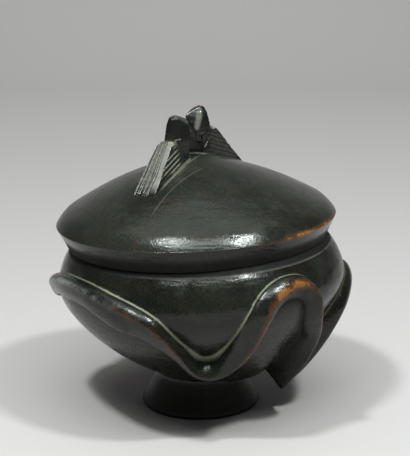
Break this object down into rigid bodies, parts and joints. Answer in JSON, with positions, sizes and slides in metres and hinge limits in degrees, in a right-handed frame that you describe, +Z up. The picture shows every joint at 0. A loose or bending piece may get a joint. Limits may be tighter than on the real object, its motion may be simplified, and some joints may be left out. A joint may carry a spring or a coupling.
{
  "type": "carved wooden covered bowl",
  "caption": "Round carved wooden bowl on a flared foot, with a wavy band in relief round it and a lift-off domed lid whose handle is carved as facing birds.",
  "frame": {"origin": "middle of the foot's flat base, on the table", "axes": "+Z up, square to the base. -Y is the front, where the band dips widest. +X is to the right seen from the front. The bowl and lid above the foot lean 2.6 degrees towards -X."},
  "size_m": [0.2203, 0.2156, 0.2177],
  "materials": {
    "bowl_wood": "near-black patinated wood, waxed to a soft gloss, worn brown on the band's crests",
    "lid_wood": "near-black patinated wood, waxed to a soft gloss, worn brown along the edge"
  },
  "bodies": {
    "vessel": {"bowl": "bowl_wood"},
    "cover": {"lid": "lid_wood"}
  },
  "joints": [
    {"name": "lid_lift", "type": "slide", "parent": "vessel", "child": "cover", "axis": [-0.0454, 0, 0.999], "range_m": [0, 0.12]}
  ]
}
